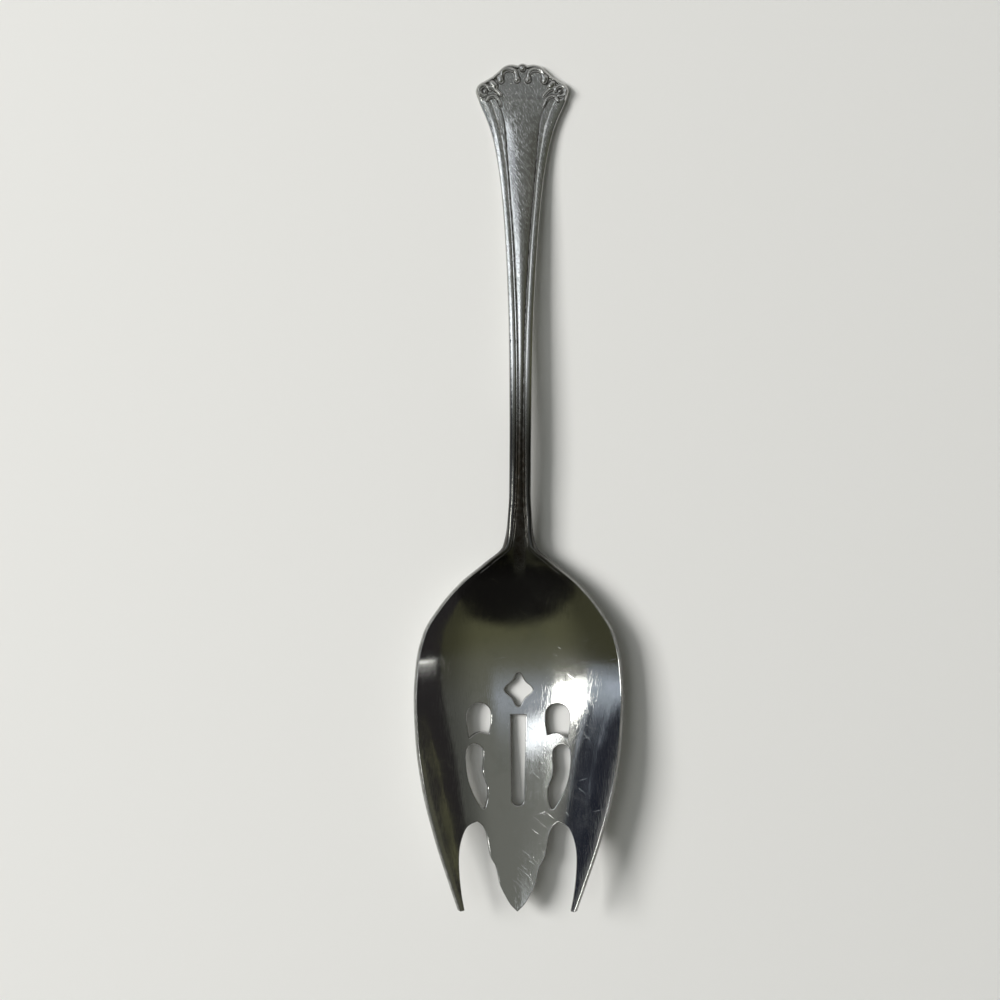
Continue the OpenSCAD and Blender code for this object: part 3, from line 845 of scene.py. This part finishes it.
tableMesh.materials.append(paleStone)

# Window light from the left: degrees from straight up towards +X and +Y, and degrees it spans.
# The narrow lamp is what polished steel mirrors; the wide one is the low daylight, for long soft shadows.
lights = {
    "window": {"towards": (-24, -5.3), "spans": (16, 4.6), "distance": 2.6, "power": 5.0, "colour": (1, 1, 0.96),
               "glossy": True},
    "daylight": {"towards": (-50, 12), "spans": (22, 24), "distance": 2.6, "power": 68.0,
                 "colour": (1, 0.985, 0.96), "glossy": False},
}
for name, light in lights.items():
    data = bpy.data.lights.new(name, "AREA")
    data.shape = "RECTANGLE"
    data.size, data.size_y = (2 * light["distance"] * math.tan(math.radians(a) / 2) for a in light["spans"])
    data.energy = light["power"]
    data.color = light["colour"]
    data.specular_factor = 1 if light["glossy"] else 0
    lamp = bpy.data.objects.new(name, data)
    away = Vector([math.tan(math.radians(a)) for a in light["towards"]] + [1]).normalized()
    lamp.location = away * light["distance"]
    lamp.rotation_euler = Vector((0, 0, 1)).rotation_difference(away).to_euler()
    lamp.visible_glossy = light["glossy"]
    bpy.context.scene.collection.objects.link(lamp)

# The room, painted by direction: u and v are how far a direction leans to +X and +Y for each step up
room = {
    "ceiling": (0.115, 0.115, 0.065), "above": (0.195, 0.2, 0.18), "far": (0.15, 0.155, 0.147),
    "farSide": (0.1, 0.1, 0.085), "farSideFrom": (0.05, 0.45), "dim": 0.5,
    "dark": (0.008, 0.0075, 0.007), "darkFrom": (-0.29, -0.35), "darkCurve": 0.75, "darkAside": 0.05,
    "wall": (0.026, 0.024, 0.025), "wallFrom": (0.78, 0.82), "wallUpTo": (0.26, 0.36),
    "sky": (0.5, 0.56, 0.65), "navy": (0.013, 0.015, 0.024), "skyFrom": (-0.6, -0.7), "skyAbove": (-0.19, -0.12),
    "pane": {"colour": (1.9, 2.0, 2.1), "wide": (-0.24, -0.66), "long": (0.16, 0.44), "edge": 0.05},
    "paneTop": (0.45, 0.47, 0.52), "paneTopFrom": (0.27, 0.34),
    "paneSide": {"colour": (1.9, 2.0, 2.1), "wide": (-0.6, -1.05), "long": (0.2, 1.0), "edge": 0.03},
    "paneLow": {"colour": (1.9, 2.0, 2.1), "wide": (-1.0, -1.9), "long": (0.33, 1.0), "edge": 0.04},
    "paneMiddle": {"colour": (0.5, 0.52, 0.54), "wide": (-0.24, 0.1), "long": (0.16, 0.225), "edge": 0.02},
    "sill": {"colour": (1.9, 2.0, 2.1), "wide": (-0.05, -0.42), "long": (-0.05, -0.005), "edge": 0.008},
    "haze": {"colour": (0.44, 0.48, 0.54), "wide": (-0.3, 0.22), "long": (-0.12, -0.05), "edge": 0.05},
    "lamp": {"colour": (5.0, 5.0, 4.8), "wide": (0.88, 1.3), "long": (-0.198, -0.19), "edge": 0.006},
    "studio": (0.44, 0.44, 0.43), "horizon": (0.64, 0.64, 0.62), "horizonFrom": (0.45, 0.15),
    "edgeDark": (0.1, 0.1, 0.085), "edgeFrom": ((0.45, 0.6), (-0.05, 0.02), (0.45, 0.36)),
    "mirrored": {"wide": (-1.6, 1.6), "long": (-1.6, 0.55), "edge": 0.15},
    "streaks": 1.6, "streaksStretch": (4.5, 0.7), "skyStreaks": (-2.2, 0.36, 0.6), "wallStreaks": (2.5, 0.84, 0.92),
    "aboveFrom": (-0.3, 0.0), "asideFrom": (0.3, 0.7), "farFrom": (0.1, 0.22),
}


def paintRoom():
    world = bpy.data.worlds.new("room")
    bpy.context.scene.world = world
    world.use_nodes = True
    tree = world.node_tree
    direction = addNode(tree, "TexCoord").outputs["Generated"]
    parts = addNode(tree, "SeparateXYZ", {"Vector": direction}).outputs
    up = calc(tree, "MAXIMUM", parts[2], 0.05)
    u = calc(tree, "DIVIDE", parts[0], up)
    v = calc(tree, "DIVIDE", parts[1], up)
    stretch = room["streaksStretch"]
    streakPlace = addNode(tree, "CombineXYZ", {"X": calc(tree, "MULTIPLY", u, stretch[0]),
                                               "Y": calc(tree, "MULTIPLY", v, stretch[1])}).outputs[0]
    streaks = addNode(tree, "TexNoise", {"Vector": streakPlace, "Scale": room["streaks"], "Detail": 3.0}).outputs[0]

    # Streaks that grow or thin out with v
    def streaked(growth, start, end):
        return fadeIn(tree, calc(tree, "ADD", streaks, calc(tree, "MULTIPLY", v, growth)), start, end)

    # Soft-edged rectangle of directions
    def patch(name):
        wide, long, edge = (room[name][key] for key in ("wide", "long", "edge"))
        mask = calc(tree, "MULTIPLY", fadeIn(tree, u, min(wide) - edge, min(wide) + edge),
                    fadeIn(tree, u, max(wide) + edge, max(wide) - edge))
        return calc(tree, "MULTIPLY", mask, calc(tree, "MULTIPLY", fadeIn(tree, v, long[0] - edge, long[0] + edge),
                                                 fadeIn(tree, v, long[1] + edge, long[1] - edge)))

    def painted(colour, name, paint=None):
        return blended(tree, patch(name), colour, paint or room[name]["colour"])

    colour = blended(tree, fadeIn(tree, v, *room["aboveFrom"]), room["ceiling"], room["above"])
    aside = fadeIn(tree, calc(tree, "ABSOLUTE", u), *room["asideFrom"])
    colour = blended(tree, calc(tree, "MULTIPLY", aside, room["dim"]), colour, (0, 0, 0))
    far = blended(tree, fadeIn(tree, u, *room["farSideFrom"]), room["far"], room["farSide"])
    colour = blended(tree, fadeIn(tree, v, *room["farFrom"]), colour, far)
    colour = painted(colour, "haze")
    left = blended(tree, streaked(*room["skyStreaks"]), room["navy"], room["sky"])
    leftShare = calc(tree, "MULTIPLY", fadeIn(tree, u, *room["skyFrom"]), fadeIn(tree, v, *room["skyAbove"]))
    colour = blended(tree, leftShare, colour, left)
    right = blended(tree, streaked(*room["wallStreaks"]), room["wall"], room["ceiling"])
    rightShare = calc(tree, "MULTIPLY", fadeIn(tree, u, *room["wallFrom"]), fadeIn(tree, v, *room["wallUpTo"][::-1]))
    colour = blended(tree, rightShare, colour, right)
    colour = painted(colour, "paneMiddle")
    colour = painted(colour, "pane", blended(tree, fadeIn(tree, v, *room["paneTopFrom"]), room["pane"]["colour"],
                                             room["paneTop"]))
    for name in ("paneSide", "paneLow", "sill", "lamp"):
        colour = painted(colour, name)
    sideways = calc(tree, "SUBTRACT", u, room["darkAside"])
    arch = calc(tree, "ADD", v, calc(tree, "MULTIPLY", calc(tree, "MULTIPLY", sideways, sideways), room["darkCurve"]))
    colour = blended(tree, fadeIn(tree, arch, *room["darkFrom"]), colour, room["dark"])

    # Outside what the view from above mirrors, the room is a pale studio; only seen and mirrored, so it adds no light
    studio = blended(tree, fadeIn(tree, parts[2], *room["horizonFrom"]), room["studio"], room["horizon"])
    away = calc(tree, "SUBTRACT", 1.0, patch("mirrored"))
    edgeShare = 1.0
    for part, limits in zip((parts[0], parts[1], parts[1]), room["edgeFrom"]):
        edgeShare = calc(tree, "MULTIPLY", edgeShare, fadeIn(tree, part, *limits))
    studio = blended(tree, edgeShare, studio, room["edgeDark"])
    ray = addNode(tree, "LightPath").outputs
    seen = calc(tree, "MAXIMUM", ray["Is Camera Ray"], calc(tree, "MAXIMUM", ray["Is Glossy Ray"],
                                                             ray["Is Transmission Ray"]))
    outside = blended(tree, seen, room["edgeDark"], studio)
    colour = blended(tree, away, colour, outside)
    tree.links.new(colour, tree.nodes["Background"].inputs["Color"])


paintRoom()

# Camera straight above, at the photograph's framing
view = {"height": 0.42, "centre": (-0.0052, -0.00417), "across": 0.26441, "roll": 0.37}
cameraData = bpy.data.cameras.new("camera")
cameraData.lens = 36 * view["height"] / view["across"]
camera = bpy.data.objects.new("camera", cameraData)
camera.location = (*view["centre"], view["height"])
camera.rotation_euler = (0, 0, math.radians(view["roll"]))
bpy.context.scene.collection.objects.link(camera)
bpy.context.scene.camera = camera
bpy.context.scene.view_settings.view_transform = "Standard"

print("scene ready")
